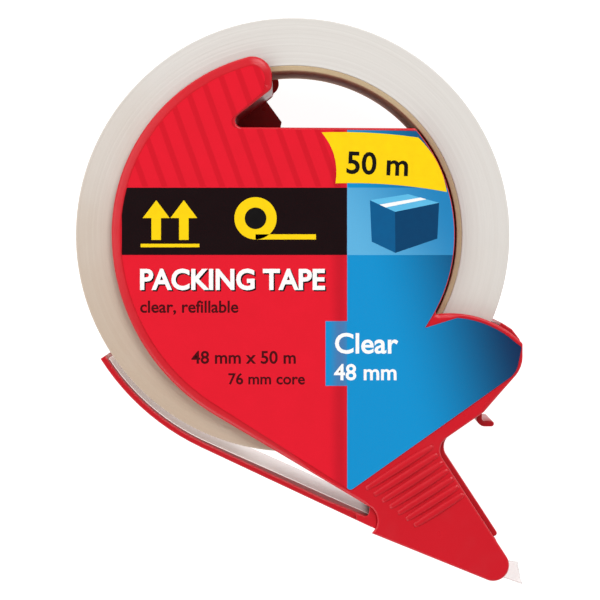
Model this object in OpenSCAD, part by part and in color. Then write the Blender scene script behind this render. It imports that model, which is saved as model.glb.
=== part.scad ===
// Hand-held dispenser with a refillable roll of clear 48 mm packing tape.
// It lies on the outer face of its rear cheek, with the roll's axis on +Z through the origin.
// The nose with the cutting blade points towards +X and -Y.

/* [Roll of tape] */
// Width of the tape
tape_w = 48; // [36:1:50]
// Bore of the cardboard core
core_bore = 76.2; // [75.8:0.1:76.6]
// Wall of the cardboard core
core_wall = 1.2; // [1:0.1:3]
// Outer diameter of the full roll
roll_d = 100.8; // [84:0.2:100.8]

/* [Mouldings] */
// Thickness of the two side cheeks
cheek_t = 2; // [1.6:0.1:2.6]
// Free space between the roll and each cheek
side_gap = 0.6; // [0.4:0.1:1]
// Radius of the cheeks round the upper left of the roll
cheek_r = 42.3; // [41.9:0.1:42.6]
// Thickness of the hub, grip and nose walls
wall_t = 1.4; // [1.2:0.1:1.8]
// Radial play between the hub and the bore of the core
hub_play = 0.7; // [0.5:0.1:1]
// Thickness of the flexible guide arm
arm_t = 1.3; // [1:0.1:1.4]
// Least space between the roll and the guide arm
arm_gap = 1.4; // [1.2:0.1:1.8]

/* [Nose and blade] */
// Number of grip ribs on each side of the nose
rib_count = 7; // [5:1:7]
// Distance from one grip rib to the next
rib_pitch = 2.2; // [2:0.1:2.2]
// Height of a grip rib above the face that it stands on
rib_h = 0.6; // [0.3:0.1:0.8]
// Thickness of the steel blade
blade_t = 0.4; // [0.3:0.1:0.5]
// Number of teeth on the blade
tooth_count = 24; // [16:1:30]
// Length of tape that stands out past the blade
tab_l = 7; // [4:0.5:7.5]

/* [Snap fit] */
// Radius of the locating pins on the front cheek
pin_r = 2; // [1.6:0.1:2.2]
// Radial play of a pin in its post
pin_play = 0.05; // [0.02:0.01:0.08]
// Length of the locating pins
pin_l = 12; // [8:1:16]

/* [Labels] */
// Thickness of the printed label
label_t = 0.2; // [0.15:0.05:0.3]

/* [Hidden] */

// Heights above the face that the dispenser lies on
roll_z = cheek_t + side_gap;
front_z = roll_z + tape_w + side_gap;
top_z = front_z + cheek_t;
// Clearance that lets the walls and the arm pass under a cheek
under_gap = 0.3;
wall_z = front_z - under_gap;
// Radii about the roll's axis
roll_r = roll_d / 2;
bore_r = core_bore / 2;
hub_r = bore_r - hub_play;
// Right-hand edge of the cheeks, just inside the bore of the core
inner_edge_r = bore_r - 0.5;
// Distance that lies outside every outline
far = 60;
// Degrees between the points of an arc
arc_step = 3;

// ---- Helpers for outlines ----

// Unit vector from a to b
function unit(a, b) = (b - a) / norm(b - a);

// Points on an arc from angle a0 to angle a1
function arc(centre, r, a0, a1) =
    let (n = max(2, ceil(abs(a1 - a0) / arc_step)))
    [for (i = [0 : n]) centre + r * [cos(a0 + (a1 - a0) * i / n), sin(a0 + (a1 - a0) * i / n)]];

// Points that round the corner b of the path a, b, c with radius r
function rounded(a, b, c, r) =
    let (
        u = unit(b, a),
        v = unit(b, c),
        half = acos(u * v) / 2,
        centre = b + unit([0, 0], u + v) * r / sin(half),
        s = (b + u * r / tan(half) - centre) / r,
        e = (b + v * r / tan(half) - centre) / r,
        turn = 180 - 2 * half,
        n = max(2, ceil(turn / (2 * arc_step)))
    )
    [for (i = [0 : n]) centre + r * (s * sin(turn * (1 - i / n)) + e * sin(turn * i / n)) / sin(turn)];

// Direction square to the path at point i, to the left of the way it runs
function left_of(p, i) =
    let (d = unit(p[max(0, i - 1)], p[min(len(p) - 1, i + 1)]))
    [-d[1], d[0]];

// Path p moved to its left by d
function beside(p, d) = [for (i = [0 : len(p) - 1]) p[i] + d * left_of(p, i)];

// Path p turned end to end
function reversed(p) = [for (i = [len(p) - 1 : -1 : 0]) p[i]];

// Closed outline of a strip that starts at path p and is t thick to its left
function strip(p, t) = concat(p, reversed(beside(p, t)));

// Point at distance d from p in the direction of angle a
function along(p, a, d) = p + d * [cos(a), sin(a)];

// ---- Layout of the side view ----

// Arc of the cheeks round the upper left of the roll, and the wider arc below it
upper_centre = [0.3, 0.3];
belly_centre = [7, 0.3];
belly_r = cheek_r + belly_centre[0] - upper_centre[0];
// Slope of the cheeks' straight lower left edge
lower_slope = -30.7;
// Hanging slot: its lower edge, and the edge of the hooked finger above it
slot_y = 24.9;
finger_base = [-5.5, 33.3];
finger_slope = 37.6;
finger_x = -4.8;
slot_corner_r = 1.6;
// Corner where the two edges of the slot would meet, for a slot that is g larger all round
function slot_corner(g) =
    let (
        low = slot_y - g,
        edge = finger_base + g * [-sin(finger_slope), cos(finger_slope)]
    )
    [edge[0] + (low - edge[1]) / tan(finger_slope), low];
// End of the finger's edge for the same slot
function finger_end(g) =
    let (c = slot_corner(g))
    [finger_x - g, c[1] + (finger_x - g - c[0]) * tan(finger_slope)];
// Lobe that holds the right of the roll
lobe_centre = [36.5, -41.9];
lobe_r = 23.7;
lobe_corner = [53.3, -25.2];
lobe_side = [53.3, -30.8];
lobe_foot = [44.3, -41.1];
// Nose
neck = [33.86, -48.33];
neck_inset = [-1, -0.69];
nose_slope = -56.8;
nose_heel = [18.35, -69.2];
nose_neck = [18.4, -63.4];
floor_slope = -22.1;
nose_tip = [56, -84.4];
rib_slope = 32.5;

// Edge of the cheeks that faces away from the roll's axis, from the finger's tip to the heel of the nose
left_edge = concat(
    rounded(finger_end(0), [finger_x, 42.4], along(upper_centre, 104, cheek_r), 4.6),
    arc(upper_centre, cheek_r, 105, 180),
    arc(belly_centre, belly_r, 183, 270 + lower_slope)
);
// Right-hand side of the grip, from the nose up to the foot of the lobe
grip_edge = concat(
    rounded(along(neck + neck_inset, nose_slope, 12), neck + neck_inset, lobe_foot, 3.5),
    [lobe_foot]
);
// Rounded outside of the lobe, from its foot to its upper left end
lobe_edge = concat(
    rounded(lobe_foot, lobe_side, lobe_corner, 7),
    rounded(lobe_side, lobe_corner, along(lobe_centre, 47, lobe_r), 0.8),
    arc(lobe_centre, lobe_r, 48, 98)
);
// Hanging slot as far as the finger's tip
slot_edge = concat(
    arc([0, 0], inner_edge_r, -28, 41),
    rounded([30, slot_y], slot_corner(0), finger_end(0), slot_corner_r),
    rounded(slot_corner(0), finger_end(0), [finger_x, 41.9], 1.8)
);
// Outline of a whole cheek
cheek_outline = concat(
    left_edge,
    [nose_neck],
    arc([15.6, -66.3], 4, 43, -43),
    [nose_heel],
    rounded(nose_heel, nose_tip, neck + neck_inset, 3.7),
    grip_edge,
    lobe_edge,
    slot_edge
);

// Hanging slot, g larger all round, as an area that runs far past the cheeks
module slot_area(g) {
    polygon(concat(
        [[far, slot_y - g]],
        rounded([far, slot_y - g], slot_corner(g), finger_end(g), slot_corner_r + g),
        [finger_end(g), [finger_x - g, far], [far, far]]
    ));
}

// Section of the hub, d in from its outer face, which stands a little back from the slot
module hub_area(d) {
    set_back = 0.2;
    difference() {
        circle(r = hub_r - d, $fn = 180);
        slot_area(set_back + d);
    }
}

// ---- Pieces fixed to the rear cheek ----

// Rows of grip ribs across the nose, h high above z, each a step shorter than the last
module rib_rows(z, h) {
    first = [16.9, -58.9];
    first_l = 18.6;
    rib_w = 1.1;
    step = 0.8;
    translate([first[0], first[1], z])
        rotate([0, 0, rib_slope])
            for (i = [0 : rib_count - 1])
                translate([step * i, -i * rib_pitch - rib_w / 2, 0])
                    cube([first_l - step * i, rib_w, h]);
}

// The rear grip is cut in as grooves, so that the face stays flat to rest on
module rear_cheek() {
    groove = 0.5;
    // Outer edge of the pad under the root of the guide arm, which runs on into the cheek
    pad_path = [along(arm_root, 180 + arm_slope, 3), along(arm_root, arm_slope, 1.5)];
    color("crimson")
        difference() {
            union() {
                linear_extrude(height = cheek_t)
                    polygon(cheek_outline);
                // Web across the root of the slot
                linear_extrude(height = cheek_t)
                    polygon([[-19, 20], [-19, 33], [-9, 36], [-2.8, 27.5], [-4.4, 20]]);
                // Broad end of the rear finger
                translate([-6.3, 36.9, 0])
                    cylinder(h = cheek_t, r = 2.8, $fn = 60);
                linear_extrude(height = cheek_t)
                    polygon(strip(pad_path, root_t));
            }
            rib_rows(-1, 1 + groove);
        }
}

module hub_drum() {
    color("crimson")
        translate([0, 0, cheek_t])
            linear_extrude(height = wall_z - cheek_t)
                difference() {
                    hub_area(0);
                    hub_area(wall_t);
                }
}

// Hollow posts that the pins of the front cheek go into: three in the hub, one in the lobe, one in the nose
post_wall = 1.7;
hub_post_r = 23;
post_places = concat(
    [for (a = [160, 250, 340]) along([0, 0], a, hub_post_r)],
    [[46, -30], [33, -59]]
);

module locating_posts() {
    post_h = wall_z - cheek_t;
    // Depth of the hole past the end of its pin
    spare = 2;
    color("crimson")
        for (p = post_places)
            translate([p[0], p[1], cheek_t])
                difference() {
                    cylinder(h = post_h, r = pin_r + post_wall, $fn = 64);
                    translate([0, 0, post_h - pin_l - spare])
                        cylinder(h = pin_l + spare + 1, r = pin_r + pin_play, $fn = 64);
                }
}

// Wall across the dispenser behind the lobe, which the palm rests on
spine_path = concat(
    [lobe_foot + [0.2, 0.2]],
    rounded(lobe_foot, lobe_side - [0.3, 0], lobe_corner - [0.3, 0], 7),
    rounded(lobe_side - [0.3, 0], [53, -24.6], along(lobe_centre, 55, lobe_r + 0.9), 2.4),
    arc(lobe_centre, lobe_r + 0.9, 54, 61)
);

module spine_wall() {
    color("crimson")
        translate([0, 0, cheek_t])
            linear_extrude(height = wall_z - cheek_t)
                polygon(strip(spine_path, wall_t));
}

// Wall across the dispenser under the lobe and down the right of the nose
grip_end = along(neck, nose_slope, 24.6);
grip_path = concat(
    [grip_end],
    rounded(along(neck, nose_slope, 12), neck, lobe_foot, 3.4),
    [lobe_foot + [-2, -1.39]]
);

module grip_wall() {
    edge_r = wall_t / 2;
    color("crimson")
        translate([0, 0, cheek_t])
            linear_extrude(height = wall_z - cheek_t)
                union() {
                    polygon(strip(grip_path, wall_t));
                    translate(grip_end + edge_r * [sin(nose_slope), -cos(nose_slope)])
                        circle(r = edge_r, $fn = 48);
                }
}

// Floor of the nose, which the tape slides over
floor_start = [20, -69.25];
floor_l = 25.9;
floor_t = 1.2;

module nose_floor() {
    color("crimson")
        translate([floor_start[0], floor_start[1], cheek_t])
            rotate([0, 0, floor_slope])
                cube([floor_l, floor_t, wall_z - cheek_t]);
}

// Toothed steel blade under the end of the nose floor, and the studs that hold it
blade_l = 9;
blade_out = 2.4;
blade_x = floor_l + blade_out - blade_l;
blade_margin = 1.4;
blade_run = wall_z - cheek_t - 2 * blade_margin;
tooth_h = 1.5;
stud_r = 1.1;
stud_x = blade_x + 3.2;
stud_places = [for (sixth = [1 : 2 : 5]) blade_run * sixth / 6];

module cutter_blade() {
    pitch = blade_run / tooth_count;
    color("silver")
        translate([floor_start[0], floor_start[1], cheek_t + blade_margin])
            rotate([0, 0, floor_slope])
                translate([blade_x, 0, 0])
                    rotate([90, 0, 0])
                        difference() {
                            linear_extrude(height = blade_t)
                                polygon(concat(
                                    [[0, blade_run], [0, 0]],
                                    [for (i = [0 : tooth_count - 1]) each [
                                        [blade_l - tooth_h, i * pitch],
                                        [blade_l, (i + 0.5) * pitch]
                                    ]],
                                    [[blade_l - tooth_h, blade_run]]
                                ));
                            for (s = stud_places)
                                translate([stud_x - blade_x, s, -1])
                                    cylinder(h = blade_t + 2, r = stud_r, $fn = 32);
                        }
}

// Plastic studs of the floor, melted over to hold the blade
module blade_studs() {
    head_r = 1.9;
    head_h = 0.5;
    head_bevel = 0.4;
    color("crimson")
        translate([floor_start[0], floor_start[1], cheek_t + blade_margin])
            rotate([0, 0, floor_slope])
                for (s = stud_places)
                    translate([stud_x, 0, s])
                        rotate([90, 0, 0])
                            union() {
                                cylinder(h = blade_t, r = stud_r, $fn = 32);
                                translate([0, 0, blade_t])
                                    cylinder(h = head_h, r1 = head_r, r2 = head_r - head_bevel, $fn = 32);
                            }
}

// ---- Flexible guide arm ----

arm_centre = [2.2, 0.8];
arm_in_r = roll_r + arm_gap + norm(arm_centre);
arm_slope = -25.1;
arm_turn = 270 + arm_slope;
arm_tip_a = 212.3;
arm_z = cheek_t + under_gap;
arm_w = wall_z - arm_z;
// Length of the straight stretch between the arc beside the roll and the root
arm_run = 43.8;
// Outer face of the arm, from its tip to its root
arm_arc = arc(arm_centre, arm_in_r + arm_t, arm_tip_a, arm_turn);
arm_bend = arm_arc[len(arm_arc) - 1];
arm_root = along(arm_bend, arm_slope, arm_run);
// Start of the taper that thickens the arm towards its root
arm_taper = along(arm_root, 180 + arm_slope, 12);
root_t = 2;
arm_path = concat(arm_arc, [arm_taper, arm_root]);
// Point in the root about which the arm bends
arm_pivot = along(along(arm_root, 90 + arm_slope, root_t / 2), 180 + arm_slope, root_t / 2);

module guide_arm() {
    boss_r = 0.9;
    color("crimson")
        union() {
            translate([0, 0, arm_z])
                linear_extrude(height = arm_w)
                    union() {
                        polygon(strip(arm_path, arm_t));
                        // Thicker root that runs into the heel of the nose
                        polygon([
                            arm_taper,
                            arm_root,
                            along(arm_root, 90 + arm_slope, root_t),
                            along(arm_taper, 90 + arm_slope, arm_t)
                        ]);
                    }
            // Boss that the arm stands on, on the line about which it bends
            translate([arm_pivot[0], arm_pivot[1], cheek_t])
                cylinder(h = under_gap + 1, r = boss_r, $fn = 48);
        }
}

// ---- Release tongue ----

// Hooked tongue under the lobe, for a finger to press
tongue_w = 34;
tongue_t = 1.3;
tongue_root = [43, -41.7];
tongue_end = [46.5, -44.95];
tongue_path = concat(
    [tongue_root],
    rounded(tongue_root, [43.1, -44.95], tongue_end, 2),
    [tongue_end]
);
// Base of the tongue, which fills the space between the ends of the grip and spine walls
tongue_base = [
    grip_path[len(grip_path) - 1],
    spine_path[0],
    beside(spine_path, wall_t)[0],
    beside(grip_path, wall_t)[len(grip_path) - 1]
];

module release_tongue() {
    color("crimson")
        translate([0, 0, (top_z - tongue_w) / 2])
            linear_extrude(height = tongue_w)
                union() {
                    polygon(tongue_base);
                    polygon(strip(tongue_path, tongue_t));
                    translate(tongue_end + [0, tongue_t / 2])
                        circle(r = tongue_t / 2, $fn = 48);
                }
}

// ---- Tape ----

module tape_core() {
    color("tan")
        translate([0, 0, roll_z])
            difference() {
                cylinder(h = tape_w, r = bore_r + core_wall, $fn = 180);
                translate([0, 0, -1])
                    cylinder(h = tape_w + 2, r = bore_r, $fn = 180);
            }
}

module tape_winding() {
    color("gainsboro")
        translate([0, 0, roll_z])
            difference() {
                cylinder(h = tape_w, r = roll_r, $fn = 180);
                translate([0, 0, -1])
                    cylinder(h = tape_w + 2, r = bore_r + core_wall, $fn = 180);
            }
}

// Run of tape from the roll along the arm and through the nose to its free end
leader_t = 0.15;
leader_lift = 0.35;
// Degrees from the arm's tip to the end of the ply of tape on it
ply_start = 1;
// Space that the tape keeps above the root of the arm
root_gap = 0.5;
// First point of the top of the nose floor, which the tape lies on
floor_top = along(floor_start, floor_slope + 90, floor_t);
leader_path = concat(
    arc(arm_centre, arm_in_r - leader_lift, arm_tip_a + ply_start, arm_turn),
    [
        along(arm_root, 90 + arm_slope, root_t + root_gap),
        along(floor_top, floor_slope, 4),
        along(floor_top, floor_slope, blade_x + blade_l + tab_l)
    ]
);

module tape_leader() {
    color("linen")
        translate([0, 0, roll_z])
            linear_extrude(height = tape_w)
                polygon(strip(leader_path, leader_t));
}

// ---- Front cheek ----

module front_cheek() {
    // Thinner tab that covers the root of the arm beside the heel of the nose
    tab_t = 1;
    corner = nose_neck + [-0.5, 0.3];
    heel = concat(
        [[20, -68.6], [18.5, -67.9], [14.9, -66.2], [14.6, -64.6]],
        rounded([14.6, -64.6], [17.5, -65.6], corner, 0.9),
        [corner, [20, -63]]
    );
    color("red")
        translate([0, 0, front_z])
            union() {
                linear_extrude(height = cheek_t)
                    polygon(cheek_outline);
                linear_extrude(height = tab_t)
                    polygon(heel);
            }
}

module grip_ribs() {
    color("red")
        rib_rows(top_z, rib_h);
}

module locating_pins() {
    color("red")
        for (p = post_places)
            translate([p[0], p[1], front_z - pin_l])
                cylinder(h = pin_l, r = pin_r, $fn = 64);
}

// Printed label on the front cheek, inside its bevelled left edge and above the ribs
label_inset = 2.2;
label_outline = concat(
    rounded(
        finger_end(0) + [-1.6, 0.2],
        [finger_x - 1.6, 40],
        along(upper_centre, 104, cheek_r - label_inset),
        3
    ),
    arc(upper_centre, cheek_r - label_inset, 106, 180),
    arc(belly_centre, belly_r - label_inset, 183, 270 + lower_slope),
    rounded([-10, -45.3], [13.4, -59.2], [44.6, -39.7], 1),
    rounded([13.4, -59.2], lobe_side + [-1.4, -1.2], lobe_corner + [-0.3, 0], 5),
    rounded(lobe_side, lobe_corner + [-0.3, -0.8], along(lobe_centre, 47, lobe_r - 1), 0.6),
    arc(lobe_centre, lobe_r - 1, 48, 86),
    [[30.6, -21.6]],
    arc([0, 0], inner_edge_r - 0.2, -33, 40),
    rounded([30, slot_y - 0.2], slot_corner(0.3), finger_end(0.3), 1.6),
    [finger_end(0) + [-1.9, -0.6]]
);

module front_label() {
    color("royalblue")
        translate([0, 0, top_z])
            linear_extrude(height = label_t)
                polygon(label_outline);
}

rear_cheek();
hub_drum();
locating_posts();
spine_wall();
grip_wall();
nose_floor();
cutter_blade();
blade_studs();
tape_leader();
tape_core();
tape_winding();
front_cheek();
grip_ribs();
locating_pins();
front_label();
guide_arm();
release_tongue();
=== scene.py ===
# %% [markdown]
# # A hand-held tape dispenser
# Two glossy red cheeks hold a roll of clear packing tape on a hub. A thin arm guides the tape round the
# roll, and the nose carries it over a floor to a toothed blade. Most parts are flat mouldings that stand
# up from one side. So nearly every piece here is an outline carried up through a few heights, with
# its edges rounded, and the outlines are read from the frame so that each piece sits where it works.

# %% Load the frame
import math

import bmesh
import bpy
import numpy as np
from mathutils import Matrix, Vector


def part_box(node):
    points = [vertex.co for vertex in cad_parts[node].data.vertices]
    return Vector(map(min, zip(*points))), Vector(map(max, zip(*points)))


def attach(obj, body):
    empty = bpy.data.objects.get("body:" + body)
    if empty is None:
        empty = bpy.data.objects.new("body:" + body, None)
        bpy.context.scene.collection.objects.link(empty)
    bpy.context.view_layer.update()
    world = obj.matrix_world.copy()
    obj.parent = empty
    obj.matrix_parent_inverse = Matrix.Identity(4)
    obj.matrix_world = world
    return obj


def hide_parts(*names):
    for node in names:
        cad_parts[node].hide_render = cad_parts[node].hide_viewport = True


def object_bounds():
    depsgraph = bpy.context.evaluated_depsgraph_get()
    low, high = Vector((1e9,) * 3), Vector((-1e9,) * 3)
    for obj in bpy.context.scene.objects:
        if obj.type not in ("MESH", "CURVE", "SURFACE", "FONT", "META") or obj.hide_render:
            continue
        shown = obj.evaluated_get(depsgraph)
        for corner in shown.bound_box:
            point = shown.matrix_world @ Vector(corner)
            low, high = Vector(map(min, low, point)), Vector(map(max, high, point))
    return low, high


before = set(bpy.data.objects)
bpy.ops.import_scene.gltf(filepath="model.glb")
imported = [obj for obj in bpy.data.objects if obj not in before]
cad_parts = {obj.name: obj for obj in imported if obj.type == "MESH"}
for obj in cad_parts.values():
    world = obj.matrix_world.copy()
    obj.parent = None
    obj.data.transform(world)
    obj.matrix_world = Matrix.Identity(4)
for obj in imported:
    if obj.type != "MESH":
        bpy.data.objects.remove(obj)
cad_low, cad_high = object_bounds()
MM = 0.001

# %% [markdown]
# ## The camera
# A product shot of a flat thing is taken from straight above, with a long lens so that its walls barely
# splay. The camera looks down along the roll's axis. A small shift frames the nose without tilting the
# view, which would make the upright walls lean.

# %% Place the camera
roll_low, roll_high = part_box("tape_winding")
VIEW_HEIGHT = 0.870
camera_data = bpy.data.cameras.new("camera")
camera_data.lens = 224.7
camera_data.sensor_width = 36.0
camera_data.shift_y = -0.125
camera = bpy.data.objects.new("camera", camera_data)
camera.location = (0.0017, 0.00225, roll_high.z + VIEW_HEIGHT)
bpy.context.scene.collection.objects.link(camera)
bpy.context.scene.camera = camera
print("camera at", [round(v, 4) for v in camera.location])

# %% [markdown]
# ## Shader sums that read as Python
# A finish is mostly arithmetic: a mask times a tint, a wave plus some noise. Node code for that is long
# and hard to follow. The small class below wraps one output socket and gives it the usual operators, so
# that `1 - mask` adds the Math node by itself.


# %% Wrap a socket
def add_node(tree, kind, settings=None, output=0, **inputs):
    """Adds a node, sets its settings first, and then gives its sockets numbers, colours or links."""
    made = tree.nodes.new(kind)
    for key, value in (settings or {}).items():
        setattr(made, key, value)
    for key, value in inputs.items():
        names = (key, key.replace("_", " "))
        socket = next(s for s in made.inputs if s.identifier in names or s.name in names)
        if isinstance(value, Signal):
            tree.links.new(value.socket, socket)
        else:
            socket.default_value = value
    return Signal(tree, made.outputs[output])


class Signal:
    """One output socket, with arithmetic. Each operator adds one Math node."""

    def __init__(self, tree, socket):
        self.tree = tree
        self.socket = socket

    def math(self, operation, first, second=0.0):
        settings = {"operation": operation}
        return add_node(self.tree, "ShaderNodeMath", settings, Value=first, Value_001=second)

    def __add__(self, other):
        return self.math("ADD", self, other)

    def __sub__(self, other):
        return self.math("SUBTRACT", self, other)

    def __rsub__(self, other):
        return self.math("SUBTRACT", other, self)

    def __mul__(self, other):
        return self.math("MULTIPLY", self, other)

    def over(self, edge, soft):
        """0 below edge and 1 above it, with a ramp that is soft wide."""
        return add_node(
            self.tree, "ShaderNodeMapRange", {"interpolation_type": "SMOOTHSTEP"},
            Value=self, From_Min=edge - soft / 2, From_Max=edge + soft / 2,
        )

    def between(self, low, high, soft):
        """1 from low to high and 0 outside."""
        return self.over(low, soft) * (1 - self.over(high, soft))

    __radd__ = __add__
    __rmul__ = __mul__


def mix(tree, factor, first, second):
    """A colour that goes from first to second as factor goes from 0 to 1."""
    made = tree.nodes.new("ShaderNodeMix")
    made.data_type = "RGBA"
    for identifier, value in (("Factor_Float", factor), ("A_Color", first), ("B_Color", second)):
        socket = next(s for s in made.inputs if s.identifier == identifier)
        if isinstance(value, Signal):
            tree.links.new(value.socket, socket)
        else:
            socket.default_value = value
    return Signal(tree, next(s for s in made.outputs if s.identifier == "Result_Color"))


def ink(red, green, blue):
    """A printed colour given in everyday 0 to 255 steps, as the linear values that light adds up in."""
    steps = np.array([red, green, blue]) / 255
    linear = np.where(steps <= 0.04045, steps / 12.92, ((steps + 0.055) / 1.055) ** 2.4)
    return (*linear.tolist(), 1.0)


print("half-bright ink, as light:", round(ink(128, 128, 128)[0], 3))


# %% Start a material
def new_material(name):
    """An empty material with its shader: gives the material, its node tree and the shader node."""
    material = bpy.data.materials.new(name)
    material.use_nodes = True
    return material, material.node_tree, material.node_tree.nodes["Principled BSDF"]


OBJECT_OUTPUT = 3  # of a Texture Coordinate node


def place(tree):
    """Where a point lies on the object, in millimetres."""
    spot = add_node(tree, "ShaderNodeTexCoord", output=OBJECT_OUTPUT)
    return add_node(
        tree, "ShaderNodeVectorMath", {"operation": "SCALE"}, Vector=spot, Scale=1 / MM
    )


def across_and_up(tree, where):
    """The x and the y of a place, as two signals."""
    parts = add_node(tree, "ShaderNodeSeparateXYZ", Vector=where).socket.node
    return [Signal(tree, parts.outputs[i]) for i in range(2)]


def cloud(tree, where, size, detail, rough=0.55):
    """Soft random blotches about size millimetres across, from 0 to 1."""
    return add_node(
        tree, "ShaderNodeTexNoise", Vector=where, Scale=1 / size, Detail=detail, Roughness=rough
    )


def link(tree, shader, **inputs):
    """Feeds sockets of the shader by name, with a signal or a plain value."""
    for key, value in inputs.items():
        socket = shader.inputs[key.replace("_", " ")]
        if isinstance(value, Signal):
            tree.links.new(value.socket, socket)
        else:
            socket.default_value = value


def bump(tree, height, depth_mm, strength):
    """A surface normal from a height that goes 0 to 1 over depth_mm."""
    return add_node(
        tree, "ShaderNodeBump", Height=height, Distance=depth_mm * MM, Strength=strength
    )


print("shader helpers ready")


# %% [markdown]
# ## Glossy red polystyrene
# The mouldings come from a polished tool, so they are shiny, but never perfect: there is a slow
# waviness where the plastic shrank, faint flow marks, a fine grain, and thin scratches and finger
# smears from the shop. Colour carries little of this. Roughness and a shallow bump carry most of it.


# %% Red plastic
def make_red_plastic(name, shade, deep):
    material, tree, shader = new_material(name)
    where = place(tree)
    flow = cloud(tree, where, 14, 4)
    grain = cloud(tree, where, 0.35, 2)
    smear = cloud(tree, where, 7, 6, 0.7).over(0.58, 0.2)
    stretched = add_node(
        tree, "ShaderNodeMapping", Vector=where, Scale=(1.0, 0.06, 1.0), Rotation=(0, 0, 0.7)
    )
    scratch = cloud(tree, stretched, 0.6, 3).over(0.72, 0.04)
    link(
        tree, shader,
        Base_Color=mix(tree, flow, shade, deep),
        Roughness=0.24 + flow * 0.1 + smear * 0.1 + scratch * 0.12,
        Normal=bump(tree, flow * 0.9 + grain * 0.1 + scratch * 0.06, 0.09, 0.55),
        IOR=1.5,
        Specular_IOR_Level=0.35,
    )
    print("material:", name)
    return material


# Two copies of one red: the front cheek gets the lighter one, and every other red part a darker one, which
# is painted shade.
red_plastic = make_red_plastic("red_plastic", ink(196, 22, 34), ink(184, 16, 29))
front_plastic = make_red_plastic("front_plastic", ink(208, 22, 37), ink(196, 17, 32))

# %% [markdown]
# ## The wound tape and its core
# The flat side of a roll is the edge of its many turns. It looks milky, because the light goes in at the
# edge and is scattered by the adhesive, and faint rings show where the winding tension changed. The colour
# runs from cool at the top to a darker tan at the lower left, which is painted shade. The core
# is plain grey-brown board with a coarse fibre.


# %% Tape edge and board
def rings(tree, radius, per_mm, detail, rough=0.5):
    """Random rings round the axis, per_mm of them in a millimetre of radius, from 0 to 1."""
    return add_node(
        tree, "ShaderNodeTexNoise", {"noise_dimensions": "1D"},
        W=radius, Scale=per_mm, Detail=detail, Roughness=rough,
    )


def make_wound_tape():
    material, tree, shader = new_material("wound_tape")
    where = place(tree)
    x, y = across_and_up(tree, where)
    radius_squared = x * x + y * y
    radius = radius_squared.math("SQRT", radius_squared)
    bands = rings(tree, radius, 0.9, 8.0, 0.75)
    fine = rings(tree, radius, 7.0, 4.0)
    blotch = cloud(tree, where, 18, 3)
    # Painted shade: the colour turns to a darker tan towards the lower left, broken up by blotches.
    shade_to_lower_left = (x * -0.006 + y * -0.011 + blotch * 0.3).over(0.35, 1.1)
    pale = mix(tree, bands, ink(226, 222, 217), ink(213, 208, 202))
    shaded_tan = mix(tree, bands, ink(200, 180, 158), ink(188, 162, 138))
    tint_and_shade = mix(tree, shade_to_lower_left, pale, shaded_tan)
    link(
        tree, shader,
        Base_Color=mix(tree, fine * 0.16, tint_and_shade, ink(168, 160, 150)),
        Roughness=0.3 + bands * 0.14,
        Normal=bump(tree, bands * 0.4 + fine * 0.6, 0.04, 0.4),
        IOR=1.5,
    )
    print("material: wound_tape")
    return material


def make_core_board():
    material, tree, shader = new_material("core_board")
    where = place(tree)
    fibre_place = add_node(tree, "ShaderNodeMapping", Vector=where, Scale=(1.0, 1.0, 0.25))
    fibres = cloud(tree, fibre_place, 0.7, 5, 0.7)
    stain = cloud(tree, where, 16, 3)
    link(
        tree, shader,
        Base_Color=mix(tree, fibres * 0.6 + stain * 0.4, ink(206, 182, 146), ink(164, 140, 108)),
        Roughness=0.72 + fibres * 0.2,
        Normal=bump(tree, fibres, 0.12, 0.8),
    )
    print("material: core_board")
    return material


wound_tape = make_wound_tape()
core_board = make_core_board()

# %% [markdown]
# ## Film and steel
# A single ply of tape is nearly clear, with a cream tint and a soft streakiness along its length. Over the
# arm the ply is given a faint painted glow, an emission that stands in for the light it scatters. The
# blade is stamped spring steel, brushed along the strip, with a few darker stains.


# %% Clear film and steel
def make_clear_film():
    material, tree, shader = new_material("clear_film")
    where = place(tree)
    x = across_and_up(tree, where)[0]
    streak_place = add_node(tree, "ShaderNodeMapping", Vector=where, Scale=(0.12, 0.12, 1.0))
    streaks = cloud(tree, streak_place, 1.6, 4)
    crease = cloud(tree, where, 3.5, 3)
    # Painted light: the ply over the arm, left of x = 17 mm, glows faintly by emission.
    painted_glow_on_arm = 1 - x.over(17, 3)
    link(
        tree, shader,
        Base_Color=mix(tree, streaks, ink(228, 217, 214), ink(214, 201, 198)),
        Roughness=0.16 + streaks * 0.14,
        Alpha=0.8 + streaks * 0.12,
        Emission_Color=mix(tree, painted_glow_on_arm, ink(0, 0, 0), ink(194, 187, 184)),
        Emission_Strength=0.42,
        Normal=bump(tree, streaks * 0.5 + crease * 0.5, 0.1, 0.6),
        IOR=1.48,
    )
    print("material: clear_film")
    return material


def make_blade_steel():
    material, tree, shader = new_material("blade_steel")
    where = place(tree)
    brush_place = add_node(tree, "ShaderNodeMapping", Vector=where, Scale=(1.0, 1.0, 0.04))
    brushed = cloud(tree, brush_place, 0.25, 3)
    stain = cloud(tree, where, 5, 4)
    link(
        tree, shader,
        Base_Color=mix(tree, stain, ink(208, 209, 212), ink(160, 161, 166)),
        Metallic=1.0,
        Roughness=0.22 + brushed * 0.2,
        Normal=bump(tree, brushed, 0.02, 0.6),
    )
    print("material: blade_steel")
    return material


clear_film = make_clear_film()
blade_steel = make_blade_steel()

# %% [markdown]
# ## The printed label
# The print is flat areas of ink: a red field, a blue field that darkens towards the lobe, a black band
# and a light-blue panel. Each area is a mask made from distances in millimetres, and the masks are laid
# one over another. A fine dot screen and faint ink mottling keep the areas from looking like flat paint.
# The upper left carries plain pinstripes.


# %% Label print
# The layout of the label, in millimetres from the roll's axis.
SPLIT_X = 12.6
BAND_LOW = -4.7
BAND_HIGH = 10.9
BAND_LEFT = -39.6
BLUE_TONGUE_LEFT = 7.6
BLUE_TONGUE_LOW = -35
BLUE_TONGUE_HIGH = -20
STRIPES_RIGHT = 12.4
STRIPES_LOW = 11.1
INK_EDGE = 0.12


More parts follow.
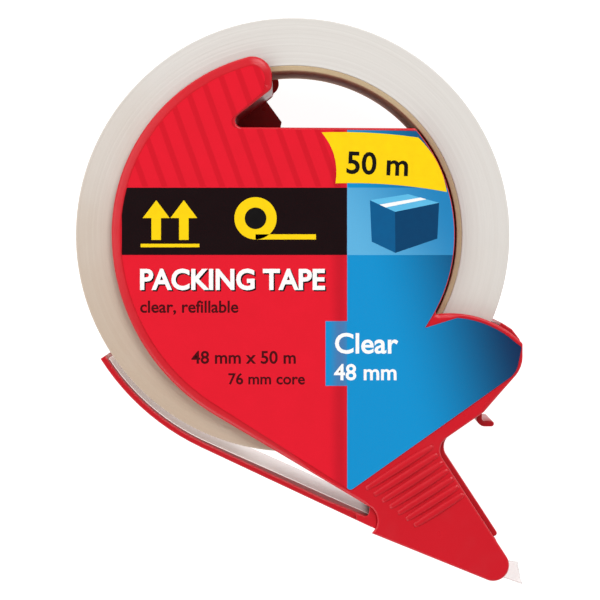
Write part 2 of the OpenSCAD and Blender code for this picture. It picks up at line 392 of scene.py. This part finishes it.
def make_label_print():
    material, tree, shader = new_material("label_print")
    where = place(tree)
    x, y = across_and_up(tree, where)
    mottle = cloud(tree, where, 5, 5)
    field = mix(tree, mottle, ink(230, 27, 47), ink(220, 23, 41))
    stripe_phase = (x * 0.94 + y * 0.34) * 1.5
    stripe = stripe_phase.math("SINE", stripe_phase).over(0.55, 0.5)
    upper_left = (1 - x.over(STRIPES_RIGHT, 0.1)) * y.over(STRIPES_LOW, 0.1)
    field = mix(tree, stripe * upper_left * 0.55, field, ink(196, 16, 32))
    towards_lobe = (x + (y + 40) * 0.3).over(43, 34)
    blue = mix(tree, towards_lobe, ink(0, 143, 204), ink(2, 38, 76))
    split = x.over(SPLIT_X, INK_EDGE)
    tongue_rows = y.between(BLUE_TONGUE_LOW, BLUE_TONGUE_HIGH, INK_EDGE)
    tongue_of_blue = x.over(BLUE_TONGUE_LEFT, INK_EDGE) * tongue_rows
    field = mix(tree, split.math("MAXIMUM", split, tongue_of_blue), field, blue)
    band_rows = y.between(BAND_LOW, BAND_HIGH, INK_EDGE)
    panel = mix(tree, (x + y * 0.6).over(26, 30), ink(92, 176, 220), ink(28, 130, 186))
    field = mix(tree, band_rows * split, field, panel)
    black = band_rows * x.between(BAND_LEFT, SPLIT_X, INK_EDGE)
    field = mix(tree, black, field, ink(7, 5, 7))
    screen = add_node(tree, "ShaderNodeTexVoronoi", Vector=where, Scale=4.0)
    # Painted shadow: the red darkens in a soft strip along its edge with the blue.
    shade = x.between(9.5, SPLIT_X, 3) * (1 - split) * 0.3
    link(
        tree, shader,
        Base_Color=mix(tree, screen * 0.06 + shade * (1 - black), field, ink(120, 10, 24)),
        Roughness=0.26 + mottle * 0.12,
        Specular_IOR_Level=0.18,
        Normal=bump(tree, mottle, 0.03, 0.4),
    )
    print("material: label_print")
    return material


def make_ink_material(name, colour, worn):
    material, tree, shader = new_material(name)
    mottle = cloud(tree, place(tree), 1.8, 5)
    link(
        tree, shader,
        Base_Color=mix(tree, mottle, colour, worn),
        Roughness=0.28 + mottle * 0.12,
        Specular_IOR_Level=0.18,
        Normal=bump(tree, mottle, 0.02, 0.3),
    )
    return material


label_print = make_label_print()
white_ink = make_ink_material("white_ink", ink(252, 251, 250), ink(240, 238, 236))
dark_ink = make_ink_material("dark_ink", ink(62, 4, 10), ink(78, 8, 14))
yellow_ink = make_ink_material("yellow_ink", ink(250, 213, 12), ink(240, 198, 10))
black_ink = make_ink_material("black_ink", ink(10, 8, 8), ink(20, 16, 16))
carton_top = make_ink_material("carton_top", ink(98, 188, 228), ink(88, 178, 220))
carton_left = make_ink_material("carton_left", ink(10, 92, 142), ink(8, 82, 132))
carton_right = make_ink_material("carton_right", ink(6, 66, 108), ink(6, 58, 98))
print("ink materials made")

# %% [markdown]
# ## Outlines carried up through heights
# A moulded wall is the same outline at every height, drawn in a little at its two ends where the tool's
# edge was broken. So one function stacks rows of the outline, each row with its own inset and height,
# and closes the ends with flat faces. The outlines are read from the frame's own flat tops.


# %% Read an outline
def outline_at(node, height):
    """The closed outline of the flat faces that lie at one height of a frame piece, as x and y in order."""
    shape = bmesh.new()
    shape.from_mesh(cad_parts[node].data)
    bmesh.ops.remove_doubles(shape, verts=shape.verts, dist=0.003 * MM)
    # The walk follows a list, because a set gives its faces in another order on each run.
    flat = [
        face for face in shape.faces if all(abs(v.co.z - height) < 0.01 * MM for v in face.verts)
    ]
    known = set(flat)
    onward = {}
    for face in flat:
        for corner in face.loops:
            if sum(other in known for other in corner.edge.link_faces) == 1:
                onward[corner.vert] = corner.link_loop_next.vert
    loops = []
    while onward:
        start, step = onward.popitem()
        loop = [start]
        while step in onward:
            loop.append(step)
            step = onward.pop(step)
        assert step is start, f"the outline of {node} does not close"
        loops.append(loop)
    path = np.array([v.co[:2] for v in max(loops, key=len)], float)
    shape.free()
    area = np.sum(path[:, 0] * np.roll(path[:, 1], -1) - np.roll(path[:, 0], -1) * path[:, 1])
    return path if area > 0 else path[::-1]


def with_more_points(path, spacing):
    """The same closed path, with extra points so that no step is much longer than spacing."""
    closed = np.vstack([path, path[:1]])
    lengths = np.linalg.norm(np.diff(closed, axis=0), axis=1)
    counts = np.maximum(1, np.ceil(lengths / spacing).astype(int))
    start = np.repeat(np.arange(len(path)), counts)
    share = (np.arange(counts.sum()) - np.repeat(np.cumsum(counts) - counts, counts)) / counts[start]
    return closed[start] + share[:, None] * (closed[start + 1] - closed[start])


def clear_of_corners(path, room):
    """The closed path without the points that crowd its sharp corners, which would cross when drawn in."""
    ahead = np.roll(path, -1, axis=0) - path
    heading = np.arctan2(ahead[:, 1], ahead[:, 0])
    turn = (heading - np.roll(heading, 1) + math.pi) % (2 * math.pi) - math.pi
    away = np.linalg.norm(path[:, None] - path[turn > 0.8][None], axis=2)
    return path[~((away > 0) & (away < room)).any(axis=1)]


def inward(path):
    """Unit directions that point into a counter-clockwise closed path, halfway between its two edges."""
    ahead = np.roll(path, -1, axis=0) - path
    ahead /= np.maximum(np.linalg.norm(ahead, axis=1, keepdims=True), 1e-12)
    total = ahead + np.roll(ahead, 1, axis=0)
    total /= np.maximum(np.linalg.norm(total, axis=1, keepdims=True), 1e-12)
    return np.stack([-total[:, 1], total[:, 0]], axis=1)


print("outline of the arm:", len(outline_at("guide_arm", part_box("guide_arm")[1].z)), "points")


# %% Build meshes from arrays
def grid_faces(rows, columns, closed_rows=False):
    """Quads between neighbouring points of a grid, whose last column meets its first."""
    row = np.arange(rows if closed_rows else rows - 1)[:, None]
    column = np.arange(columns)[None, :]
    here = row * columns + column
    right = row * columns + (column + 1) % columns
    above = (row + 1) % rows
    return np.stack(
        [here, right, above * columns + (column + 1) % columns, above * columns + column], axis=-1
    ).reshape(-1, 4)


def add_piece(name, points, faces, material, body, caps=()):
    """A named mesh piece that moves with one body. The quads are smooth and the caps are flat."""
    mesh = bpy.data.meshes.new(name)
    every = [f.tolist() for f in faces] + [list(c) for c in caps]
    mesh.from_pydata(np.asarray(points, float).reshape(-1, 3).tolist(), [], every)
    smooth = np.ones(len(mesh.polygons), bool)
    smooth[len(faces):] = False
    mesh.polygons.foreach_set("use_smooth", smooth)
    mesh.materials.append(material)
    mesh.validate()
    mesh.update()
    piece = bpy.data.objects.new(name, mesh)
    bpy.context.scene.collection.objects.link(piece)
    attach(piece, body)
    return piece


def stack(name, path, ends, material, body):
    """A closed path drawn in by each row's inset at each row's height, with flat ends. ends lists the rows
    from below, as pairs of insets and heights."""
    count = len(path)
    insets, heights = (
        np.vstack([np.broadcast_to(rows, (len(rows), count)) for rows in parts]) for parts in zip(*ends)
    )
    flat = path[None] + inward(path)[None] * insets[..., None]
    points = np.dstack([flat, heights])
    top = np.arange(count) + (len(insets) - 1) * count
    caps = [top.tolist(), np.arange(count)[::-1].tolist()]
    return add_piece(name, points, grid_faces(len(insets), count), material, body, caps)


ROUND = np.linspace(0, math.pi / 2, 5)[:, None]


def rounded_foot(low, edge):
    """Insets and heights of the rows that round the lower end of a piece by edge."""
    return edge * (1 - np.sin(ROUND)), low + edge * (1 - np.cos(ROUND))


def rounded_head(high, edge):
    """Insets and heights of the rows that round the upper end of a piece by edge."""
    return edge * (1 - np.cos(ROUND)), high - edge * (1 - np.sin(ROUND))


def moulding(node, name, body, edge, foot=0.0):
    """Stands for a straight-walled frame piece: the same outline, with both ends rounded by edge. It starts
    foot above the frame piece, where that stands on a small foot."""
    low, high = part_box(node)
    path = with_more_points(outline_at(node, high.z), 2.5 * MM)
    ends = [rounded_foot(low.z + foot, edge), rounded_head(high.z, edge)]
    piece = stack(name, path, ends, red_plastic, body)
    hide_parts(node)
    print(name, len(path), "points round")


print("rows that round an end:", len(ROUND))


# %% [markdown]
# ## The walls, the arm and the tongue
# Each of these has upright sides, so each is one outline with broken edges. The arm is the one that
# shows most: its upper edge is the dark red line round the lower left of the roll. On the frame's model
# the arm stands on a small boss, so the arm itself starts a little higher.

# %% Raise the straight walls
BOSS_RISE = 0.3 * MM
moulding("spine_wall", "palm_wall", "root", 0.3 * MM)
moulding("grip_wall", "nose_wall", "root", 0.3 * MM)
moulding("nose_floor", "tape_floor", "root", 0.25 * MM)
moulding("guide_arm", "flex_arm", "arm", 0.32 * MM, foot=BOSS_RISE)
moulding("release_tongue", "catch_tongue", "root", 0.3 * MM)

# %% [markdown]
# ## The front cheek
# Along the left and under the finger the label stops about two millimetres short, and the bare plastic
# there rolls over to the edge. Elsewhere the label runs right out, and the edge is only broken. So the
# width of the roll-over is worked out from how far each edge point lies from the label. A thin tab of the
# same moulding reaches out at the heel, over the root of the arm.


# %% Roll the front cheek over at its edge
def near(path, other):
    """How far each point of a path is from the nearest point of another."""
    return np.sqrt(((path[:, None] - other[None]) ** 2).sum(-1)).min(1)


def eased(values, reach):
    """Values along a closed path, averaged over reach points on both sides."""
    offsets = range(-reach, reach + 1)
    return sum(np.roll(values, i) for i in offsets) / len(offsets)


cheek_low, cheek_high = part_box("front_cheek")
label_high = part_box("front_label")[1]
cheek_path = outline_at("front_cheek", cheek_high.z)
cheek_path = clear_of_corners(with_more_points(cheek_path, 0.8 * MM), 0.6 * MM)
label_path = with_more_points(outline_at("front_label", label_high.z), 0.5 * MM)
gap = near(cheek_path, label_path)
PLAIN_EDGE = 0.4 * MM
ROLL_OVER = 2.0 * MM
stops_short = (gap > 1.5 * MM) & (gap < 2.6 * MM)
wide = eased(np.where(stops_short, ROLL_OVER, PLAIN_EDGE), 4)
drop = 0.3 * MM + 0.35 * wide
across = np.array([0, 0.02, 0.06, 0.13, 0.24, 0.42, 0.62, 0.82, 1.0])[:, None]
fall = 0.5 * (1 - across) + 0.5 * (1 - across) ** 9
front_ends = [rounded_foot(cheek_low.z, 0.25 * MM), (across * wide, cheek_high.z - fall * drop)]
front_plate = stack("front_plate", cheek_path, front_ends, front_plastic, "front_half")
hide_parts("front_cheek")
print("front plate:", len(cheek_path), "points, roll-over", round(wide.max() / MM, 2), "mm")

# %% Thin tab over the root of the arm
TAB_THICK = 1.0 * MM
tab_path = outline_at("front_cheek", cheek_low.z + TAB_THICK)
tab_path = clear_of_corners(with_more_points(tab_path, 0.6 * MM), 0.35 * MM)
tab_ends = [rounded_foot(cheek_low.z, 0.15 * MM), rounded_head(cheek_low.z + TAB_THICK, 0.2 * MM)]
heel_tab = stack("heel_tab", tab_path, tab_ends, front_plastic, "front_half")
print("heel tab:", len(tab_path), "points")

# %% [markdown]
# ## Grip ribs
# The ribs on the nose are soft ridges that fade at both ends, so that a thumb doesn't catch on them. Each
# is a low bump in section. Its height follows a sine along its length, raised to a small power, so that it
# rises fast, stays nearly level, and falls fast.


# %% Sweep the ribs
def bars_of(node):
    """Centre lines of the straight bars in a frame piece, as start and end points, then their width and the
    direction across them."""
    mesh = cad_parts[node].data
    walls = [face for face in mesh.polygons if abs(face.normal.z) < 0.01]
    side = np.array(max(walls, key=lambda face: face.area).normal[:2], float)
    along = np.array([side[1], -side[0]])
    spots = np.unique(np.round([v.co[:2] for v in mesh.vertices], 6), axis=0)
    level = spots @ side
    order = np.argsort(level)
    groups = np.split(order, np.nonzero(np.diff(level[order]) > 0.1 * MM)[0] + 1)
    lines = []
    for low, high in zip(groups[0::2], groups[1::2]):
        reach = spots[np.concatenate([low, high])] @ along
        middle = (level[low].mean() + level[high].mean()) / 2
        lines.append((reach.min() * along + middle * side, reach.max() * along + middle * side))
    return lines, level[groups[1]].mean() - level[groups[0]].mean(), side


rib_lines, rib_width, rib_side = bars_of("grip_ribs")
rib_low, rib_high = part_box("grip_ribs")
RIB_STEPS = 49
RIB_AROUND = 20
RIB_SINK = 0.12 * MM
along_rib = np.linspace(0, 1, RIB_STEPS)
swell = np.clip(np.sin(math.pi * along_rib), 0, 1) ** 0.35
turn = np.linspace(0, 2 * math.pi, RIB_AROUND, endpoint=False)
rib_points = []
rib_faces = []
rib_caps = []
for rib_start, rib_end in rib_lines:
    centre = rib_start + along_rib[:, None] * (rib_end - rib_start)
    half = rib_width * 0.8 * (0.35 + 0.65 * swell)
    sideways = centre[:, None] + rib_side * (half[:, None] * np.cos(turn))[..., None]
    rise = (rib_high.z - rib_low.z) * swell[:, None] * np.sin(turn)
    sunk = -RIB_SINK * np.sin(-turn) * swell[:, None]
    upright = rib_low.z + np.where(rise > 0, rise, sunk)
    base = len(rib_points) * RIB_STEPS * RIB_AROUND
    rib_points.append(np.dstack([sideways, upright]).reshape(-1, 3))
    rib_faces.append(grid_faces(RIB_STEPS, RIB_AROUND) + base)
    last = base + (RIB_STEPS - 1) * RIB_AROUND
    rib_caps.append(range(base + RIB_AROUND - 1, base - 1, -1))
    rib_caps.append(range(last, last + RIB_AROUND))
soft_ribs = add_piece(
    "soft_ribs", np.vstack(rib_points), np.vstack(rib_faces), front_plastic, "front_half", rib_caps
)
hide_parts("grip_ribs")
print("ribs:", len(rib_lines), "width", round(rib_width / MM, 2), "mm")

# %% [markdown]
# ## The roll
# A wound roll isn't a plain ring. Its turns sit a hair higher or lower than their neighbours, because the
# tape wandered as it was wound, and that gives the flat side its rings. The height here is a function of
# the distance wound since the start, so the rings form one long spiral, as on the real thing.


# %% Wind the roll
def ring(name, profile, around, material, body, lift):
    """A closed profile of radius and height pairs, turned about the roll's axis.
    lift(radius, height, angle) gives the extra height of each point."""
    angle = np.linspace(0, 2 * math.pi, around, endpoint=False)
    radius = np.broadcast_to(profile[:, :1], (len(profile), around))
    height = np.broadcast_to(profile[:, 1:], (len(profile), around))
    lifted = height + lift(radius, height, angle[None])
    points = np.dstack([radius * np.cos(angle), radius * np.sin(angle), lifted])
    faces = grid_faces(len(profile), around, closed_rows=True)
    return add_piece(name, points, faces, material, body)


def broken_corner(radius, height, cut, inner, upper):
    """Points that round one corner of a ring's section, from its side to its flat."""
    away = 1 if inner else -1
    down = -1 if upper else 1
    return np.hstack(
        [radius + away * cut * (1 - np.cos(ROUND)), height + down * cut * (1 - np.sin(ROUND))]
    )


def ring_profile(inner, outer, low, high, cut, steps):
    """Section of a ring, counter-clockwise from its outer side: up, in along the top, down, and out."""
    inward_radii = np.linspace(outer - 1.2 * cut, inner + 1.2 * cut, steps)
    outward_radii = np.linspace(inner + 1.2 * cut, outer - 1.2 * cut, steps)
    top = np.stack([inward_radii, np.full(steps, high)], 1)
    bottom = np.stack([outward_radii, np.full(steps, low)], 1)
    return np.vstack(
        [
            broken_corner(outer, low, cut, False, False)[::-1],
            broken_corner(outer, high, cut, False, True),
            top,
            broken_corner(inner, high, cut, True, True)[::-1],
            broken_corner(inner, low, cut, True, False),
            bottom,
        ]
    )


core_low, core_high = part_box("tape_core")
core_outer = core_high.x
inner_edge = np.array([v.co[:2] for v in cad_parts["tape_core"].data.vertices])
core_inner = np.linalg.norm(inner_edge, axis=1).min()
roll_outer = roll_high.x
TURN_PITCH = 0.34 * MM
wander = np.random.default_rng(11).normal(0, 1, 400)


def wound_lift(radius, height, angle):
    """Each turn's own level, eased into the next turn's, on the two flat sides and never past them."""
    turns = (radius - core_outer) / TURN_PITCH - angle / (2 * math.pi) + 2
    whole = np.floor(turns).astype(int)
    share = turns - whole
    share = share * share * (3 - 2 * share)
    this_turn = 0.5 + 0.5 * np.sin(2.1 * wander[whole] + 1.3 * angle)
    next_turn = 0.5 + 0.5 * np.sin(2.1 * wander[whole + 1] + 1.3 * angle)
    deep = (1 - share) * this_turn + share * next_turn
    slow = 0.5 + 0.5 * np.sin(radius / MM * 1.1 + angle)
    sides = np.where(height > (roll_low.z + roll_high.z) / 2, -1.0, 1.0)
    near_flat = np.minimum(roll_high.z - height, height - roll_low.z) < 0.4 * MM
    return sides * near_flat * (0.03 * MM * deep + 0.015 * MM * slow)


winding = ring(
    "wound_roll",
    ring_profile(core_outer, roll_outer, roll_low.z, roll_high.z, 0.25 * MM, 90),
    300, wound_tape, "roll", wound_lift,
)
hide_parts("tape_winding")
print("roll:", len(winding.data.polygons), "faces")


# %% Roll the core
def board_lift(radius, height, angle):
    """The cut end of the board is a little fuzzy, so its height wavers round the rim."""
    waver = np.sin(7 * angle) + 0.6 * np.sin(17 * angle + 1) + 0.4 * np.sin(41 * angle + 2)
    near_end = height > core_high.z - 0.5 * MM
    return near_end * -0.03 * MM * (2 + waver)


core_profile = ring_profile(core_inner, core_outer, core_low.z, core_high.z, 0.22 * MM, 6)
board_tube = ring("board_tube", core_profile, 240, core_board, "roll", board_lift)
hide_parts("tape_core")
print("core:", round(core_inner / MM, 2), "to", round(core_outer / MM, 2), "mm")

# %% [markdown]
# ## The free run of tape
# The ply leaves the roll, follows the arm, crosses the floor of the nose and stands out past the blade. The
# free end was torn off by hand, so it is skewed, and it curls up along its far corner. The route is
# the middle line of the frame's own strip, and a thin flat section is carried along it.


# %% Lay the tape
def middle_line(loop):
    """Middle line of a long thin closed strip, found from its two shortest edges."""
    edges = np.linalg.norm(np.roll(loop, -1, axis=0) - loop, axis=1)
    first = int(edges.argmin())
    loop = np.roll(loop, -(first + 1), axis=0)
    half = len(loop) // 2
    return (loop[:half] + loop[half:][::-1]) / 2


TAPE_STEPS = 170
tape_low, tape_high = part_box("tape_leader")
line = middle_line(outline_at("tape_leader", tape_high.z))
if line[0, 0] > line[-1, 0]:
    line = line[::-1]
along_line = np.concatenate([[0], np.cumsum(np.linalg.norm(np.diff(line, axis=0), axis=1))])
tape_length = along_line[-1]
at = np.linspace(0, tape_length, TAPE_STEPS)
route = np.stack([np.interp(at, along_line, line[:, i]) for i in (0, 1)], axis=1)
tangent = np.gradient(route, axis=0)
tangent /= np.linalg.norm(tangent, axis=1, keepdims=True)
normal = np.stack([-tangent[:, 1], tangent[:, 0]], axis=1)
print("tape run:", round(tape_length / MM, 1), "mm long")

# %% Curl and tear its free end
WIDTH_STEPS = 25
FREE_LENGTH = 8.5 * MM
HALF_THICK = 0.05 * MM
share = np.linspace(0, 1, WIDTH_STEPS)
free = np.clip((at - (tape_length - FREE_LENGTH)) / FREE_LENGTH, 0, 1)[:, None]
far_side = 1 - share[None]
curl = free**2 * (0.25 + 1.45 * far_side**1.5) * MM
skew = free**3 * (1.3 * far_side + 0.12 * np.sin(22 * share)[None]) * MM
lay = route[:, None] + normal[:, None] * curl[..., None] + tangent[:, None] * skew[..., None]
level = np.broadcast_to(tape_low.z + share * (tape_high.z - tape_low.z), lay.shape[:2])
upper = np.dstack([lay + normal[:, None] * HALF_THICK, level])
lower = np.dstack([lay - normal[:, None] * HALF_THICK, level])
section = np.concatenate([upper, lower[:, ::-1]], axis=1)
section_points = np.arange(2 * WIDTH_STEPS)
tape_faces = grid_faces(TAPE_STEPS, len(section_points))
last_section = section_points + (TAPE_STEPS - 1) * len(section_points)
tape_caps = [section_points[::-1].tolist(), last_section.tolist()]
free_tape = add_piece("free_tape", section, tape_faces, clear_film, "root", tape_caps)
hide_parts("tape_leader")
print("free end:", FREE_LENGTH / MM, "mm")

# %% [markdown]
# ## Parts kept from the frame
# The rear cheek, the hub, the posts and pins, the label, the blade and its studs already have their real
# shape. They keep it and get their finish, and the larger mouldings get a broken edge. Their meshes are
# loose triangles, so a weld joins them first, and the bevel then touches only the sharp edges.


# %% Finish the frame's own parts
def finish_part(node, material, edge=None):
    """Gives a frame piece its material, and rounds its sharp edges by edge if it is given."""
    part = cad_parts[node]
    part.data.materials.clear()
    part.data.materials.append(material)
    if edge:
        weld = part.modifiers.new("weld", "WELD")
        weld.merge_threshold = 0.002 * MM
        bevel = part.modifiers.new("bevel", "BEVEL")
        bevel.width = edge
        bevel.segments = 2
        bevel.limit_method = "ANGLE"
        bevel.angle_limit = math.radians(40)
        bevel.use_clamp_overlap = True
    print("finished:", node)


finish_part("rear_cheek", red_plastic, 0.2 * MM)
finish_part("hub_drum", red_plastic, 0.2 * MM)
finish_part("locating_posts", red_plastic, 0.15 * MM)
finish_part("locating_pins", red_plastic, 0.25 * MM)
finish_part("blade_studs", red_plastic)
finish_part("cutter_blade", blade_steel)
finish_part("front_label", label_print)

# %% [markdown]
# ## Small print
# The areas of ink are in the label's material, but lettering and symbols want crisp edges, so they are
# thin raised shapes, as screen-printed ink is. The words only say what the thing is and its size.


# %% Print shapes on the label
INK_THICK = 0.012 * MM
ink_base = label_high.z


def printed(name, path, material, layer=0):
    """A flat closed path of x and y in millimetres, printed on the label. layer lifts it over other ink."""
    low = ink_base - INK_THICK + layer * 2 * INK_THICK
    ends = [(np.zeros((2, 1)), np.array([[low], [low + 2.5 * INK_THICK]]))]
    piece = stack(name, np.asarray(path, float) * MM, ends, material, "front_half")


def bowed(start, end, bow, steps=16):
    """A line from start to end that bows out to its right by bow at its middle."""
    start = np.array(start, float)
    end = np.array(end, float)
    t = np.linspace(0, 1, steps, endpoint=False)[:, None]
    away = np.array([end[1] - start[1], start[0] - end[0]])
    away /= np.linalg.norm(away)
    return start + t * (end - start) + 4 * bow * t * (1 - t) * away


flag_corners = [(9.9, 11.9), (35.7, 9.9), (29.1, 22.5), (6.7, 23.7)]
flag_bows = [-0.7, 1.2, 0.5, -1.4]
flag_sides = zip(flag_corners, flag_corners[1:] + flag_corners[:1], flag_bows)
printed("print_flag", np.vstack([bowed(*side) for side in flag_sides]), yellow_ink)
print("flag printed")

# %% A plain carton
far_top = (26.7, 9.4)
left_top, left_foot = (17.9, 8.0), (18.3, -1.6)
near_top, near_foot = (23.7, 5.3), (23.8, -4.2)
right_top, right_foot = (33.9, 7.4), (33.5, -0.9)
tape_strip = [(20.1, 6.98), (21.5, 6.32), (31.0, 8.2), (29.6, 8.6)]
printed("print_carton_top", [left_top, near_top, right_top, far_top], carton_top)
printed("print_carton_left", [left_top, left_foot, near_foot, near_top], carton_left)
printed("print_carton_right", [near_top, near_foot, right_foot, right_top], carton_right)
printed("print_carton_strip", tape_strip, white_ink, 1)
print("carton printed")


# %% Arrows and a roll
def arrow(name, x, y, size):
    """An arrow that points up, with its foot at x and y."""
    right_side = [(0.12, 0), (0.12, 0.55), (0.34, 0.55), (0, 1)]
    left_side = [(-0.34, 0.55), (-0.12, 0.55)]
    shape = np.array([(-0.12, 0)] + right_side + left_side)
    printed(name, shape * size + (x, y), yellow_ink)


def bar(left, low, right, high):
    """The corners of an upright rectangle."""
    return [(left, low), (right, low), (right, high), (left, high)]


arrow("print_arrow_1", -31.6, -1.2, 9.2)
arrow("print_arrow_2", -25.2, -1.2, 9.2)
printed("print_arrow_bar", bar(-35.2, -2.9, -21.6, -2.1), yellow_ink)


def disc_edge(x, y, radius, steps=48):
    """Points round a circle."""
    t = np.linspace(0, 2 * math.pi, steps, endpoint=False)
    return np.stack([x + radius * np.cos(t), y + radius * np.sin(t)], axis=1)


SIGN_X = -8.6
SIGN_Y = 3.8
printed("print_roll", disc_edge(SIGN_X, SIGN_Y, 4.9), yellow_ink)
printed("print_roll_hole", disc_edge(SIGN_X, SIGN_Y, 2.5), black_ink, 1)
printed("print_roll_run", bar(SIGN_X, -1.1, 5.4, 0.1), yellow_ink)
print("symbols printed")


# %% Print the words
def words(name, text, x, y, size, material, layer=0, stretch=1.0, tilt=0.0, bold=0.018):
    """Raised lettering with its left foot at x and y, in millimetres."""
    curve = bpy.data.curves.new(name, "FONT")
    curve.body = text
    curve.size = size * MM
    curve.extrude = INK_THICK
    curve.offset = bold * size * MM
    curve.resolution_u = 4
    source = bpy.data.objects.new(name + "_source", curve)
    bpy.context.scene.collection.objects.link(source)
    bpy.context.view_layer.update()
    mesh = bpy.data.meshes.new_from_object(source)
    bpy.data.objects.remove(source)
    bpy.data.curves.remove(curve)
    spots = np.empty(len(mesh.vertices) * 3, np.float32)
    mesh.vertices.foreach_get("co", spots)
    spots = spots.reshape(-1, 3)
    spots[:, 0] *= stretch
    along = math.cos(math.radians(tilt))
    up = math.sin(math.radians(tilt))
    spots[:, :2] = spots[:, :2] @ np.array([[along, up], [-up, along]], np.float32)
    spots += np.array([x * MM, y * MM, ink_base + layer * 2 * INK_THICK], np.float32)
    mesh.vertices.foreach_set("co", spots.ravel())
    mesh.materials.clear()
    mesh.materials.append(material)
    mesh.update()
    piece = bpy.data.objects.new(name, mesh)
    bpy.context.scene.collection.objects.link(piece)
    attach(piece, "front_half")
    print("printed:", text)


words("print_kind_shade", "PACKING TAPE", -35.3, -12.9, 6.6, black_ink, stretch=0.95, bold=0.034)
words("print_kind", "PACKING TAPE", -35.6, -12.6, 6.6, white_ink, layer=1, stretch=0.95, bold=0.03)
words("print_kind_2", "clear, refillable", -35.4, -18.0, 3.9, dark_ink)
words("print_size", "48 mm x 50 m", -23.4, -29.8, 4.1, dark_ink)
words("print_core", "76 mm core", -15.0, -34.6, 3.6, dark_ink)
words("print_flag_text", "50 m", 12.2, 14.3, 7.2, black_ink, layer=1, tilt=-2.5)
words("print_blue_1", "Clear", 9.6, -27.4, 6.6, white_ink)
words("print_blue_2", "48 mm", 9.6, -33.6, 5.2, white_ink)

# %% [markdown]
# ## Floor and light
# A glowing pale table and broad soft lamps show glossy plastic without hard glare or heavy shadows. One
# large lamp above and to the upper right shapes the edges, and two weaker ones on the left open up the
# shadows. The surround is pale all round but darker straight overhead, so that the flat faces, which
# mirror that part, keep their full colour.

# %% Stage and lamps
floor_mesh = bpy.data.meshes.new("floor")
REACH = 3.0
floor_corners = [(x, y, 0) for x, y in bar(-REACH, -REACH, REACH, REACH)]
floor_mesh.from_pydata(floor_corners, [], [(0, 1, 2, 3)])
floor = bpy.data.objects.new("floor", floor_mesh)
floor.location.z = -0.02 * MM
bpy.context.scene.collection.objects.link(floor)
floor_paint, floor_tree, floor_shader = new_material("floor_paint")
link(
    floor_tree, floor_shader, Base_Color=(0.35, 0.35, 0.35, 1.0), Roughness=0.9, Specular_IOR_Level=0.0,
    Emission_Color=(1.0, 1.0, 1.0, 1.0), Emission_Strength=0.96,
)
floor_mesh.materials.append(floor_paint)

world = bpy.data.worlds.new("surround")
world.use_nodes = True
background = world.node_tree.nodes["Background"]
background.inputs["Color"].default_value = (1.0, 1.0, 1.0, 1.0)
heading = add_node(world.node_tree, "ShaderNodeTexCoord")
upward = add_node(world.node_tree, "ShaderNodeSeparateXYZ", output=2, Vector=heading)
link(world.node_tree, background, Strength=0.95 - upward.over(0.55, 0.8) * 0.72)
bpy.context.scene.world = world


def lamp(name, spot, size, power):
    """A square soft lamp that points at the middle of the object."""
    data = bpy.data.lights.new(name, "AREA")
    data.size = size
    data.energy = power
    made = bpy.data.objects.new(name, data)
    made.location = spot
    away = (cad_low + cad_high) / 2 - made.location
    made.rotation_euler = away.to_track_quat("-Z", "Y").to_euler()
    bpy.context.scene.collection.objects.link(made)


lamp("key", (0.35, 0.75, 0.85), size=0.6, power=7.6)
lamp("fill", (-0.7, 0.2, 0.7), size=0.7, power=2.6)
lamp("low fill", (-0.5, -0.7, 0.5), size=0.6, power=2.6)
bpy.context.scene.view_settings.view_transform = "Standard"
print("stage and lamps ready")
